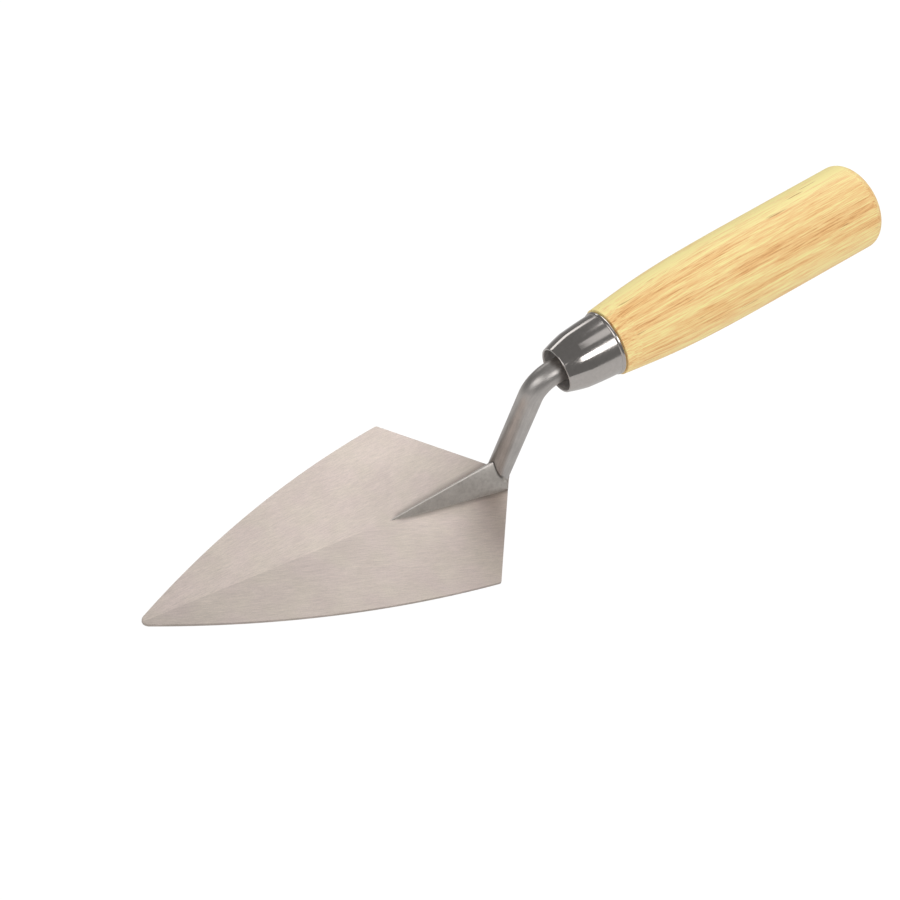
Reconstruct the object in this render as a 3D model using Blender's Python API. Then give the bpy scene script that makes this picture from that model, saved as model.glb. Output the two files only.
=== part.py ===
"""Small brick trowel: ground blade, welded lift, bent shank, pressed ferrule and turned wooden handle.

Frame: metres, +X runs from the blade's nose to the handle's butt, +Z is up, the blade's underside lies
on Z = 0, and the tool is symmetric about Y = 0. Pieces are drawn from the middle of the blade's heel,
and the rig then carries them all so that the origin is at the middle of the bounding box's base.
"""

import math

import bmesh
import bpy
from mathutils import Matrix, Vector

MM = 0.001
GAP = 0.3 * MM  # left between pieces that touch on the real tool

# Blade: a flat kite of plate, its top ground to two planes that meet at a ridge along Y = 0.
BLADE_LENGTH = 127.0 * MM  # nose to the middle of the heel
BLADE_WIDTH = 68.2 * MM
HEEL_DEPTH = 27.1 * MM  # the two heel edges run forward this far to their corners
HEEL_SPREAD = HEEL_DEPTH / (BLADE_WIDTH / 2)  # run of the heel edges along X per unit along Y
NOSE_CUT = 2.06 * MM  # the round nose stands this far behind the point where the sides would meet
SIDE_FULLNESS = 0.563  # how far the curved sides stand out from a straight run, at the nose
SIDE_FADE = -0.038  # change of that fullness from the nose to the corners
CORNER_RADIUS = 0.5 * MM
NOSE_THICKNESS = 0.9 * MM  # on the ridge
HEEL_THICKNESS = 1.15 * MM  # on the ridge
FACE_FALL = 0.008  # drop of each ground plane per unit of distance from the ridge
NOSE_STEPS = 6
SIDE_STEPS = 28
CORNER_STEPS = 4

# Lift: the tapered wedge that joins the blade to the foot of the shank.
LIFT_REACH = 42.9 * MM  # from the middle of the heel to the lift's nose
LIFT_RIDGE_WIDTH = 0.9 * MM
LIFT_NOSE_HEIGHT = 0.45 * MM
LIFT_SLOPE = 0.232  # rise of the lift's ridge per unit of length
LIFT_FLARE = 0.133  # growth of the half-width of its base per unit of length
LIFT_EAR_X = -3.6 * MM  # the lift wraps the foot of the shank as far back as this
LIFT_WELD_LEG = 0.5 * MM
LIFT_WELD_STEPS = 6  # round the lift's nose
CUTTER_REACH = 20.0 * MM  # cutters stand this far above and below the underside

# Shank: one round rod, bent at the knee, whose rear half is the tang inside the handle.
ROD_RADIUS = 3.73 * MM
KNEE_X = 0.46 * MM  # where the axis of the riser meets the axis of the handle
KNEE_Z = 41.13 * MM
RISER_ANGLE = math.radians(81.66)
HANDLE_ANGLE = math.radians(13.64)
BEND_RADIUS = 9.0 * MM
BEND_STEPS = 14
FOOT_HEIGHT = 4.0 * MM  # the slanting end of the rod is done by here, and its rings are square above
RISER_STEPS = 6
ROD_SIDES = 32
TANG_SHOULDER = 12.0 * MM  # the tang starts to taper this far behind the ferrule's mouth
TANG_END = 72.0 * MM
TANG_END_RADIUS = 2.4 * MM
TANG_POINT = 2.0 * MM
TANG_POINT_RADIUS = 1.2 * MM
SHANK_WELD_FRONT = -1.9 * MM  # the weld behind the rod fills the heel's point between these stations
SHANK_WELD_REAR = -0.15 * MM
SHANK_WELD_FRONT_HEIGHT = 3.4 * MM
SHANK_WELD_REAR_HEIGHT = 0.85 * MM

# Ferrule: a pressed cup. Its stations are (distance behind the mouth, outer radius).
MOUTH_FROM_KNEE = 6.9 * MM
FERRULE_LENGTH = 18.6 * MM
FERRULE_WALL = 1.0 * MM
FERRULE_STATIONS = (
    (0.6 * MM, 7.25 * MM),
    (2.5 * MM, 7.93 * MM),
    (5.6 * MM, 8.74 * MM),
    (9.1 * MM, 9.27 * MM),
    (13.2 * MM, 9.60 * MM),
    (17.1 * MM, 9.82 * MM),
)
BEAD_START = FERRULE_STATIONS[-1][0]
BEAD_HEIGHT = 0.5 * MM  # the rolled rear rim stands proud by this much
LIP_STEPS = 5
BEAD_STEPS = 6
FERRULE_STEPS = 10

# Handle: stations of the grip, again from the mouth, then the elliptical round of its butt.
TENON_FRONT = 5.5 * MM
TENON_STEPS = 5
GRIP_STATIONS = (
    (FERRULE_LENGTH + GAP, 10.75 * MM),
    (26.4 * MM, 11.65 * MM),
    (34.0 * MM, 12.45 * MM),
    (43.0 * MM, 13.10 * MM),
    (55.0 * MM, 13.57 * MM),
    (70.0 * MM, 13.75 * MM),
    (110.6 * MM, 13.86 * MM),
)
BUTT_LENGTH = 5.7 * MM
BUTT_FLAT_RADIUS = 4.6 * MM
BORE_SPARE = 1.5 * MM  # the bore runs on past the tang's point
BORE_END = TANG_END + TANG_POINT + BORE_SPARE
GRIP_STEPS = 22
BUTT_STEPS = 7
LATHE_SIDES = 48

SHARP_ANGLE = math.radians(32)


def clear_scene():
    for obj in list(bpy.data.objects):
        bpy.data.objects.remove(obj, do_unlink=True)


def material(name, colour, metallic, roughness):
    made = bpy.data.materials.new(name)
    made.use_nodes = True
    made.diffuse_color = (*colour, 1.0)
    shader = made.node_tree.nodes["Principled BSDF"]
    shader.inputs["Base Color"].default_value = (*colour, 1.0)
    shader.inputs["Metallic"].default_value = metallic
    shader.inputs["Roughness"].default_value = roughness
    return made


def finish_object(name, mesh_builder, look, parent, matrix=None):
    """Turns a bmesh into a named, smooth-shaded object with outward normals."""
    bmesh.ops.recalc_face_normals(mesh_builder, faces=mesh_builder.faces)
    mesh = bpy.data.meshes.new(name)
    mesh_builder.to_mesh(mesh)
    mesh_builder.free()
    mesh.shade_smooth()
    mesh.set_sharp_from_angle(angle=SHARP_ANGLE)
    mesh.materials.append(look)
    obj = bpy.data.objects.new(name, mesh)
    obj.matrix_world = matrix or Matrix.Identity(4)
    bpy.context.scene.collection.objects.link(obj)
    obj.parent = parent
    return obj


def cutter(name, mesh_builder, parent, matrix=None):
    obj = finish_object(name, mesh_builder, material(name, (0.8, 0.1, 0.1), 0.0, 0.5), parent, matrix)
    obj.hide_render = True
    obj.display_type = "WIRE"
    return obj


def cut(obj, tool, operation="DIFFERENCE"):
    boolean = obj.modifiers.new(f"{operation.lower()} {tool.name}", "BOOLEAN")
    boolean.operation = operation
    boolean.solver = "EXACT"
    boolean.object = tool


def smooth_radius(stations, place):
    """Radius at a place along an axis: cubic pieces that pass smoothly through the stations."""
    last = len(stations) - 1
    slopes = []
    for i in range(last + 1):
        before = stations[max(i - 1, 0)]
        after = stations[min(i + 1, last)]
        slopes.append((after[1] - before[1]) / (after[0] - before[0]))
    i = 0
    while i < last - 1 and place > stations[i + 1][0]:
        i += 1
    (start, radius_a), (end, radius_b) = stations[i], stations[i + 1]
    span = end - start
    t = (place - start) / span
    return (
        radius_a * (1 + 2 * t) * (1 - t) ** 2
        + slopes[i] * span * t * (1 - t) ** 2
        + radius_b * t * t * (3 - 2 * t)
        + slopes[i + 1] * span * t * t * (t - 1)
    )


def steps_between(start, end, count):
    return [start + (end - start) * i / count for i in range(count + 1)]


def turned(profile, sides, closed):
    """Spins (radius, height) points about Z. An open profile starts and ends on the axis."""
    bm = bmesh.new()
    verts = [bm.verts.new((radius, 0.0, height)) for radius, height in profile]
    edges = [bm.edges.new(pair) for pair in zip(verts, verts[1:])]
    if closed:
        edges.append(bm.edges.new((verts[-1], verts[0])))
    bmesh.ops.spin(
        bm,
        geom=verts + edges,
        axis=(0.0, 0.0, 1.0),
        cent=(0.0, 0.0, 0.0),
        angle=math.tau,
        steps=sides,
    )
    bmesh.ops.remove_doubles(bm, verts=bm.verts, dist=1e-6)
    return bm


def solid_between(sections):
    """Closed solid through sections that each list the same number of points, with flat ends."""
    bm = bmesh.new()
    rows = [[bm.verts.new(point) for point in section] for section in sections]
    for row, next_row in zip(rows, rows[1:]):
        for i in range(len(row)):
            j = (i + 1) % len(row)
            bm.faces.new((row[i], row[j], next_row[j], next_row[i]))
    bm.faces.new(reversed(rows[0]))
    bm.faces.new(rows[-1])
    return bm


# --- Blade ------------------------------------------------------------------------------------------


def blade_top(x, y):
    """Height of the blade's ground top, over any point of the plan."""
    ridge = HEEL_THICKNESS + (HEEL_THICKNESS - NOSE_THICKNESS) * x / BLADE_LENGTH
    return ridge - FACE_FALL * abs(y)


SIDE_RUN = BLADE_LENGTH - HEEL_DEPTH + NOSE_CUT  # from where the sides would meet to the corners


def side_half_width(run):
    u = run / SIDE_RUN
    return BLADE_WIDTH / 2 * (u + u * (1 - u) * (SIDE_FULLNESS + SIDE_FADE * u))


def side_slope(run):
    step = 0.01 * MM
    return (side_half_width(run + step) - side_half_width(run - step)) / (2 * step)


def nose_arc():
    """(run where the nose's arc meets the side, run of the arc's centre, its radius), by bisection."""
    low = 0.02 * MM
    high = 12.0 * MM
    for _ in range(50):
        run = (low + high) / 2
        width = side_half_width(run)
        slope = side_slope(run)
        centre = run + width * slope
        radius = width * math.hypot(1.0, slope)
        if centre - radius < NOSE_CUT:
            low = run
        else:
            high = run
    return run, centre, radius


def rounded_corner(before, corner, after, radius, steps):
    """Points of the arc that rounds a corner of the plan."""
    back = (before - corner).normalized()
    on = (after - corner).normalized()
    half = back.angle(on) / 2
    centre = corner + (back + on).normalized() * (radius / math.sin(half))
    first = corner + back * (radius / math.tan(half)) - centre
    last = corner + on * (radius / math.tan(half)) - centre
    turn = first.angle_signed(last)
    return [centre + Matrix.Rotation(-turn * i / steps, 2) @ first for i in range(steps + 1)]


def half_outline():
    """Plan of the far half (Y >= 0), from the nose to the middle of the heel."""
    join, centre, radius = nose_arc()
    join_angle = math.atan2(side_half_width(join), join - centre)
    points = []
    for angle in steps_between(math.pi, join_angle, NOSE_STEPS):
        points.append(Vector((centre + radius * math.cos(angle), radius * math.sin(angle))))
    for run in steps_between(join, SIDE_RUN, SIDE_STEPS)[1:]:
        points.append(Vector((run, side_half_width(run))))
    heel = Vector((BLADE_LENGTH + NOSE_CUT, 0.0))
    corner = points.pop()
    points += rounded_corner(points[-1], corner, heel, CORNER_RADIUS, CORNER_STEPS)
    points.append(heel)
    points[0].y = 0.0
    return [point - heel for point in points]


def heel_half_width(x):
    """Half-width of the plan at a station between the corners and the middle of the heel."""
    return -x / HEEL_SPREAD


def build_blade(look, rig):
    half = half_outline()
    bm = bmesh.new()

    def column(point, side):
        y = side * point.y
        return bm.verts.new((point.x, y, 0.0)), bm.verts.new((point.x, y, blade_top(point.x, y)))

    nose = column(half[0], 1)
    heel = column(half[-1], 1)
    far = [nose] + [column(point, 1) for point in half[1:-1]] + [heel]
    near = [nose] + [column(point, -1) for point in half[1:-1]] + [heel]
    for side in (far, near):
        for (low_a, high_a), (low_b, high_b) in zip(side, side[1:]):
            bm.faces.new((low_a, low_b, high_b, high_a))
        bm.faces.new([high for _, high in side])
        bm.faces.new([low for low, _ in side])
    return finish_object("blade", bm, look, rig)


# --- Shank ------------------------------------------------------------------------------------------

KNEE = Vector((KNEE_X, 0.0, KNEE_Z))
RISER = Vector((math.cos(RISER_ANGLE), 0.0, math.sin(RISER_ANGLE)))
AXIS = Vector((math.cos(HANDLE_ANGLE), 0.0, math.sin(HANDLE_ANGLE)))
MOUTH = KNEE + AXIS * MOUTH_FROM_KNEE
ACROSS = Vector((0.0, 1.0, 0.0))


def on_riser(height):
    """Point of the riser's axis at a height."""
    return KNEE + RISER * ((height - KNEE_Z) / RISER.z)


def ring(centre, tangent, radius):
    out = tangent.cross(ACROSS)
    points = []
    for i in range(ROD_SIDES):
        angle = math.tau * i / ROD_SIDES
        points.append(centre + radius * (math.cos(angle) * out + math.sin(angle) * ACROSS))
    return points


def foot_ring():
    """The rod's lowest ring, its points slid down the riser until they stand just clear of the blade."""
    points = []
    for point in ring(on_riser(HEEL_THICKNESS), RISER, ROD_RADIUS):
        for _ in range(3):
            point = point - RISER * ((point.z - blade_top(point.x, point.y) - GAP) / RISER.z)
        points.append(point)
    return points


def shank_sections():
    turn = RISER_ANGLE - HANDLE_ANGLE
    tangent_length = BEND_RADIUS * math.tan(turn / 2)
    bend_start = KNEE - RISER * tangent_length
    bend_centre = bend_start + BEND_RADIUS * Vector((RISER.z, 0.0, -RISER.x))
    sections = [foot_ring()]
    base = on_riser(FOOT_HEIGHT)
    for i in range(RISER_STEPS):
        sections.append(ring(base.lerp(bend_start, i / RISER_STEPS), RISER, ROD_RADIUS))
    for angle in steps_between(RISER_ANGLE, HANDLE_ANGLE, BEND_STEPS):
        tangent = Vector((math.cos(angle), 0.0, math.sin(angle)))
        centre = bend_centre + BEND_RADIUS * Vector((-tangent.z, 0.0, tangent.x))
        sections.append(ring(centre, tangent, ROD_RADIUS))
    for depth, radius in tang_stations():
        sections.append(ring(MOUTH + AXIS * depth, AXIS, radius))
    return sections


def tang_stations():
    """(depth behind the ferrule's mouth, radius) of the tang."""
    return (
        (TANG_SHOULDER, ROD_RADIUS),
        (TANG_END, TANG_END_RADIUS),
        (TANG_END + TANG_POINT, TANG_POINT_RADIUS),
    )


def build_shank(look, rig):
    return finish_object("shank", solid_between(shank_sections()), look, rig)


def rod_clearance(rig):
    """Straight cutter round the riser, a gap wider than the rod."""
    ends = [ring(on_riser(height), RISER, ROD_RADIUS + GAP) for height in (-CUTTER_REACH, CUTTER_REACH)]
    return cutter("rod_clearance", solid_between(ends), rig)


# --- Lift and welds ---------------------------------------------------------------------------------


def lift_half_width(x):
    return LIFT_RIDGE_WIDTH / 2 + LIFT_FLARE * (x + LIFT_REACH)


def lift_section(x):
    base = lift_half_width(x)
    crest = LIFT_RIDGE_WIDTH / 2
    top = blade_top(-LIFT_REACH, 0.0) + LIFT_NOSE_HEIGHT + LIFT_SLOPE * (x + LIFT_REACH)
    return [
        Vector((x, -base, blade_top(x, base) + GAP)),
        Vector((x, 0.0, blade_top(x, 0.0) + GAP)),
        Vector((x, base, blade_top(x, base) + GAP)),
        Vector((x, crest, top)),
        Vector((x, -crest, top)),
    ]


def lift_envelope(rig):
    """Upright block with the plan of the blade's heel, cut off square where the lift ends."""
    front = -BLADE_LENGTH
    plan = [
        (front, -heel_half_width(front)),
        (LIFT_EAR_X, -heel_half_width(LIFT_EAR_X)),
        (LIFT_EAR_X, heel_half_width(LIFT_EAR_X)),
        (front, heel_half_width(front)),
    ]
    layers = [[Vector((x, y, z)) for x, y in plan] for z in (-CUTTER_REACH, CUTTER_REACH)]
    return cutter("lift_envelope", solid_between(layers), rig)


def build_lift(look, rig, clearance):
    wedge = solid_between([lift_section(-LIFT_REACH), lift_section(0.0)])
    lift = finish_object("lift", wedge, look, rig)
    cut(lift, lift_envelope(rig), "INTERSECT")
    cut(lift, clearance)
    return lift


def build_lift_weld(look, rig):
    """Thin fillet along both long sides of the lift and round its nose."""
    lean = math.atan(LIFT_FLARE)
    nose = Vector((-LIFT_REACH, 0.0))
    corner_y = lift_half_width(-LIFT_REACH)
    rear_x = -lift_half_width(LIFT_EAR_X) * HEEL_SPREAD - 2 * LIFT_WELD_LEG
    path = [(Vector((rear_x, -lift_half_width(rear_x))), Vector((-math.sin(lean), -math.cos(lean))))]
    for angle in steps_between(-math.pi / 2 - lean, -3 * math.pi / 2 + lean, LIFT_WELD_STEPS):
        out = Vector((math.cos(angle), math.sin(angle)))
        path.append((nose + Vector((0.0, math.copysign(corner_y * abs(out.y), out.y))), out))
    path.append((Vector((rear_x, lift_half_width(rear_x))), Vector((-math.sin(lean), math.cos(lean)))))
    sections = []
    for point, out in path:
        inner = point + out * GAP
        outer = point + out * (GAP + LIFT_WELD_LEG)
        low = blade_top(inner.x, inner.y) + GAP
        sections.append(
            [
                Vector((inner.x, inner.y, low)),
                Vector((outer.x, outer.y, blade_top(outer.x, outer.y) + GAP)),
                Vector((inner.x, inner.y, low + LIFT_WELD_LEG)),
            ]
        )
    return finish_object("lift_weld", solid_between(sections), look, rig)


def shank_weld_section(x, height):
    low = blade_top(0.0, 0.0) + GAP
    half = heel_half_width(x)
    corners = ((-half, low), (half, low), (half, low + height), (-half, low + height))
    return [Vector((x, y, z)) for y, z in corners]


def build_shank_weld(look, rig, clearance):
    """Small weld that fills the point of the heel behind the rod, its top sloping down to the rear."""
    sections = [
        shank_weld_section(SHANK_WELD_FRONT, SHANK_WELD_FRONT_HEIGHT),
        shank_weld_section(SHANK_WELD_REAR, SHANK_WELD_REAR_HEIGHT),
    ]
    weld = finish_object("shank_weld", solid_between(sections), look, rig)
    cut(weld, clearance)
    return weld


# --- Ferrule and handle -----------------------------------------------------------------------------


def on_handle_axis():
    """Matrix that carries local +Z to the handle's axis, with the origin in the ferrule's mouth."""
    return Matrix.Translation(MOUTH) @ Matrix.Rotation(math.pi / 2 - HANDLE_ANGLE, 4, "Y")


def ferrule_radius(place):
    return smooth_radius(FERRULE_STATIONS, place)


def build_ferrule(look, rig):
    start, start_radius = FERRULE_STATIONS[0]
    lip = FERRULE_WALL / 2
    profile = []
    for angle in steps_between(-math.pi, 0.0, LIP_STEPS):
        profile.append((start_radius - lip + lip * math.cos(angle), start + start * math.sin(angle)))
    for place in steps_between(start, BEAD_START, FERRULE_STEPS)[1:]:
        profile.append((ferrule_radius(place), place))
    bead_half = (FERRULE_LENGTH - BEAD_START) / 2
    for angle in steps_between(0.0, math.pi, BEAD_STEPS)[1:]:
        place = BEAD_START + bead_half * (1 - math.cos(angle))
        profile.append((ferrule_radius(BEAD_START) + BEAD_HEIGHT * math.sin(angle), place))
    profile.append((ferrule_radius(BEAD_START) - FERRULE_WALL, FERRULE_LENGTH))
    for place in reversed(steps_between(start, BEAD_START, FERRULE_STEPS)[1:]):
        profile.append((ferrule_radius(place) - FERRULE_WALL, place))
    return finish_object("ferrule", turned(profile, LATHE_SIDES, True), look, rig, on_handle_axis())


def build_handle(look, rig):
    shoulder = GRIP_STATIONS[0][0]
    butt_start, butt_radius = GRIP_STATIONS[-1]
    profile = [(0.0, butt_start + BUTT_LENGTH)]
    for angle in steps_between(math.pi / 2, 0.0, BUTT_STEPS):
        radius = BUTT_FLAT_RADIUS + (butt_radius - BUTT_FLAT_RADIUS) * math.cos(angle)
        profile.append((radius, butt_start + BUTT_LENGTH * math.sin(angle)))
    for place in reversed(steps_between(shoulder, butt_start, GRIP_STEPS)[:-1]):
        profile.append((smooth_radius(GRIP_STATIONS, place), place))
    profile.append((ferrule_radius(BEAD_START) - FERRULE_WALL - GAP, shoulder))
    for place in reversed(steps_between(TENON_FRONT, BEAD_START, TENON_STEPS)):
        profile.append((ferrule_radius(place) - FERRULE_WALL - GAP, place))
    bore_radius = ROD_RADIUS + GAP
    profile.append((bore_radius, TENON_FRONT))
    profile.append((bore_radius, TANG_SHOULDER + GAP))
    profile.append((TANG_END_RADIUS + GAP, TANG_END + GAP))
    profile.append((TANG_END_RADIUS + GAP, BORE_END))
    profile.append((0.0, BORE_END))
    return finish_object("handle", turned(profile, LATHE_SIDES, False), look, rig, on_handle_axis())


# --- Assembly ---------------------------------------------------------------------------------------


def centre_over_base(rig, nodes):
    """Moves the rig so that the origin is under the middle of the tool."""
    bpy.context.view_layer.update()
    places = [(node.matrix_world @ vertex.co).x for node in nodes for vertex in node.data.vertices]
    rig.location.x = -(min(places) + max(places)) / 2


def main():
    clear_scene()
    rig = bpy.data.objects.new("trowel_rig", None)
    bpy.context.scene.collection.objects.link(rig)
    ground_steel = material("ground steel", (0.62, 0.58, 0.54), 1.0, 0.42)
    forged_steel = material("forged steel", (0.36, 0.34, 0.32), 1.0, 0.55)
    weld_metal = material("weld metal", (0.30, 0.28, 0.26), 1.0, 0.6)
    rod_steel = material("rod steel", (0.45, 0.41, 0.38), 1.0, 0.4)
    polished_steel = material("polished steel", (0.66, 0.64, 0.62), 1.0, 0.16)
    pale_wood = material("pale wood", (0.87, 0.62, 0.32), 0.0, 0.45)
    clearance = rod_clearance(rig)
    nodes = [
        build_blade(ground_steel, rig),
        build_lift(forged_steel, rig, clearance),
        build_lift_weld(weld_metal, rig),
        build_shank(rod_steel, rig),
        build_shank_weld(weld_metal, rig, clearance),
        build_ferrule(polished_steel, rig),
        build_handle(pale_wood, rig),
    ]
    centre_over_base(rig, nodes)


main()
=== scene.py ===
"""Looks of the small brick trowel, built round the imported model.

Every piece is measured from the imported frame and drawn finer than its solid, in the same place. The row frame
is used throughout: metres, +X from the blade's nose to the handle's butt, +Z up, symmetric about Y = 0.
"""

import math

import bmesh
import bpy
import numpy as np
from mathutils import Matrix, Vector, noise
from mathutils.bvhtree import BVHTree


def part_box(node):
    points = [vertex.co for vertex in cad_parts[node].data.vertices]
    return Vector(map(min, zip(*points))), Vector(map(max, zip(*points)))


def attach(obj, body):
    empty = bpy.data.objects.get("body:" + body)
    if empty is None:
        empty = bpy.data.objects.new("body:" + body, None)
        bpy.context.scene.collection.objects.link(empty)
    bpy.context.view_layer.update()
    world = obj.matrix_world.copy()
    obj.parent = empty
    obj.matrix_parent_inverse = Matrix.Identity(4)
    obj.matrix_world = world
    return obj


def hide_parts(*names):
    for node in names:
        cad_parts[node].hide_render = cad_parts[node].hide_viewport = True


MM = 0.001

# Blade
EDGE_ROUNDING = 0.13 * MM
EDGE_SEGMENTS = 3
HALF_PAINTED_SHADING = (0.92, 1.03)  # near and far, as painted shading: each is ground in its own direction and reflects differently, and this tone stands in for that
# Painted shade on the blade: a dark band along the lift, and the far half darkened beside it
LIFT_SHADE_REACH = 2.4 * MM  # out from the lift
LIFT_SHADE_DEPTH = 0.5
FAR_SHADE_REACH = 25 * MM  # of the painted shade beside the lift, on the far half
FAR_SHADE_START = -60 * MM  # from the heel
FAR_SHADE_DEPTH = 0.45

# Lift and welds
LIFT_RIDGE_WIDTH = 0.9 * MM  # over the rounded corners of the crest
LIFT_FLAT_WIDTH = 0.34 * MM  # of the crest itself
LIFT_TIP_LENGTH = 4.0 * MM  # its nose tapers to a point over this length
LIFT_TIP_REACH = 0.9 * MM  # how far its thin tip is drawn out in front
TIP_NARROWING = 0.9  # share of the rounded corners' width that the tip loses
TIP_DROP = 0.45  # share of the ridge's height above the blade that the tip loses
LIFT_CREST_WEAR = 0.15 * MM
LIFT_NOSE_HEIGHT = 0.45 * MM  # of the ridge, above the blade
LIFT_REAR = -1.9 * MM  # the lift wraps the rod back to here, measured from the middle of the heel
LIFT_SINK = 0.05 * MM  # how far pieces welded to the blade reach into its face
LIFT_BULGE = 0.58 * MM  # how far the sides swell round the foot of the rod
LIFT_BULGE_START = -20.0 * MM
LIFT_BULGE_FULL = -7.5 * MM
LIFT_STATIONS = 170
LIFT_SIDE_STEPS = 30
FORGED_RELIEF = 0.035 * MM
WELD_LEG = 0.16 * MM
PIT_PLACE = (-5.6 * MM, 4.35 * MM)  # X from the heel and height of the small pit in the near side
PIT_RADIUS = 0.5 * MM
PIT_DEPTH = 0.35 * MM
HEEL_FILLET_FOOT = 0.3 * MM  # height above the blade where the sides start leaning in from the heel's edges
HEEL_FILLET_LEAN = 0.5
FILL_TOPS = (2.3 * MM, 1.5 * MM)  # of the weld behind the rod, front and rear
SEAM = 0.07 * MM  # fine gap left in front of the rod where it enters the lift
SEAM_SHADE_REACH = 0.32 * MM  # how far the painted shade reaches from that gap

# Shank
BEND_RADIUS = 9.0 * MM
ROD_SIDES = 96
ROD_STEP = 0.8 * MM
FOOT_STEP = 0.2 * MM  # finer rings where the lift meets the rod
FOOT_FINE_TO = 11.5 * MM
TANG_SHOWN = 9.0 * MM  # the rod is drawn this far behind the ferrule's mouth, then tapers as the tang

# Ferrule, measured along the handle's axis from its mouth
FERRULE_WALL = 0.7 * MM
FERRULE_LIP = 0.32 * MM
FERRULE_KINK = (6.6 * MM, 8.97 * MM)  # the steep front cone meets the slow rear cone here
FRONT_CROWN = 0.1 * MM
REAR_CROWN = 0.09 * MM
BEAD_LENGTH = 1.5 * MM
BEAD_HEIGHT = 0.45 * MM
LATHE_SIDES = 192

# Handle
GRIP_STATIONS = 150
GRIP_START = 24.5 * MM  # behind the ferrule, where the wood's profile begins
GRIP_RADIUS = 13.0 * MM  # at which the wood's streaks have their true width
BUTT_LENGTH = 5.7 * MM
BUTT_FLAT_RADIUS = 4.6 * MM
TENON_RADIUS = 8.4 * MM
TENON_FRONT = 6.0 * MM
TENON_TAPER = 1.2 * MM  # how much thinner its front is
TENON_TAPER_END = 14.0 * MM
SHOULDER_FILLET = 0.06 * MM
TANG_TIP_RADIUS = 1.2 * MM

# Floor: how far its bounce fades, its white to the camera, and its light on matt surfaces
FLOOR_FADE = (60 * MM, 170 * MM)
FLOOR_GLOW = (0.95, 0.95, 0.95)
DIFFUSE_BOUNCE = 0.35

# Camera, at the photograph's angle
CAMERA_AZIMUTH = math.radians(-134.9)
CAMERA_ELEVATION = math.radians(46.6)
CAMERA_ROLL = math.radians(14.4)
CAMERA_DISTANCE = 634 * MM
CAMERA_LENS = 82.2

# Studio light
LAMP_DISTANCE = 1.0
ROOM_SHEEN = 0.35  # brightness of the room in reflections, against its light on the wood
ROOM_LIGHT = 0.5
FLOOR_BOUNCE = 0.5

# name, azimuth, elevation, width, height, brightness
SOFTBOXES = (
    ("key over the near side", -80, 50, 0.7, 0.3, 3.2),
    ("behind the handle", 40, 45, 0.7, 0.6, 2.0),
    ("beyond the nose", 180, 35, 0.6, 0.4, 2.0),
    ("low on the far side", 85, 15, 0.5, 0.2, 1.2),
    ("beside the camera", -150, 45, 0.4, 0.3, 1.4),
    ("overhead", 0, 80, 0.4, 0.4, 0.6),
)


# --- Measuring the frame ----------------------------------------------------------------------------


def node_points(name):
    """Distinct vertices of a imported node, as rows."""
    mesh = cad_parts[name].data
    points = np.empty(len(mesh.vertices) * 3)
    mesh.vertices.foreach_get("co", points)
    return np.unique(np.round(points.reshape(-1, 3), 7), axis=0)


def principal_axis(points):
    """Centroid and longest direction of a cloud of points, the direction facing up."""
    centre = points.mean(axis=0)
    direction = np.linalg.svd(points - centre, full_matrices=False)[2][0]
    direction[1] = 0.0
    direction *= math.copysign(1.0, direction[2]) / np.linalg.norm(direction)
    return Vector((centre[0], 0.0, centre[2])), Vector(direction)


def side_line(points):
    """Centre line of a round rod: the places of the vertices on its widest side, from the bottom up."""
    widest = points[:, 1].max()
    line = points[points[:, 1] > widest - 1e-6]
    return [Vector((x, 0.0, z)) for x, _, z in line[np.argsort(line[:, 2])]]


def crossing(point_a, along_a, point_b, along_b):
    """Where two lines in the plane Y = 0 cross."""
    gap = point_b - point_a
    turn = along_a.x * along_b.z - along_a.z * along_b.x
    return point_a + along_a * ((gap.x * along_b.z - gap.z * along_b.x) / turn)


def outer_profile(name, origin, axis):
    """Outer (place along the axis, radius) stations of a turned node that only widens, then its far end."""
    offsets = node_points(name) - np.array(origin)
    places = offsets @ np.array(axis)
    radii = np.linalg.norm(offsets - np.outer(places, axis), axis=1)
    widest = {}
    for place, radius in zip(np.round(places, 5), radii):
        widest[place] = max(widest.get(place, 0.0), radius)
    stations = []
    for place, radius in sorted(widest.items()):
        if not stations or radius >= stations[-1][1] - 1e-6:
            stations.append((place, radius))
    return stations, max(widest)


# --- Mesh helpers -----------------------------------------------------------------------------------


def steps_between(start, end, count):
    return [start + (end - start) * i / count for i in range(count + 1)]


def smoothstep(low, high, value):
    """Smooth rise from 0 at low to 1 at high, whichever is the larger."""
    t = min(max((value - low) / (high - low), 0.0), 1.0)
    return t * t * (3 - 2 * t)


def piece(name, bm, looks, sharp=40.0, matrix=None):
    """Named, smooth-shaded object in the scene."""
    bmesh.ops.recalc_face_normals(bm, faces=bm.faces)
    mesh = bpy.data.meshes.new(name)
    bm.to_mesh(mesh)
    bm.free()
    mesh.shade_smooth()
    mesh.set_sharp_from_angle(angle=math.radians(sharp))
    for look in looks:
        mesh.materials.append(look)
    obj = bpy.data.objects.new(name, mesh)
    obj.matrix_world = matrix or Matrix.Identity(4)
    bpy.context.scene.collection.objects.link(obj)
    return obj


def skin(sections, closed_ends=True):
    """Quads through closed sections that each list the same number of points."""
    bm = bmesh.new()
    rows = [[bm.verts.new(point) for point in section] for section in sections]
    for row, next_row in zip(rows, rows[1:]):
        for i in range(len(row)):
            j = (i + 1) % len(row)
            bm.faces.new((row[i], row[j], next_row[j], next_row[i]))
    if closed_ends:
        bm.faces.new(reversed(rows[0]))
        bm.faces.new(rows[-1])
    return bm


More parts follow.
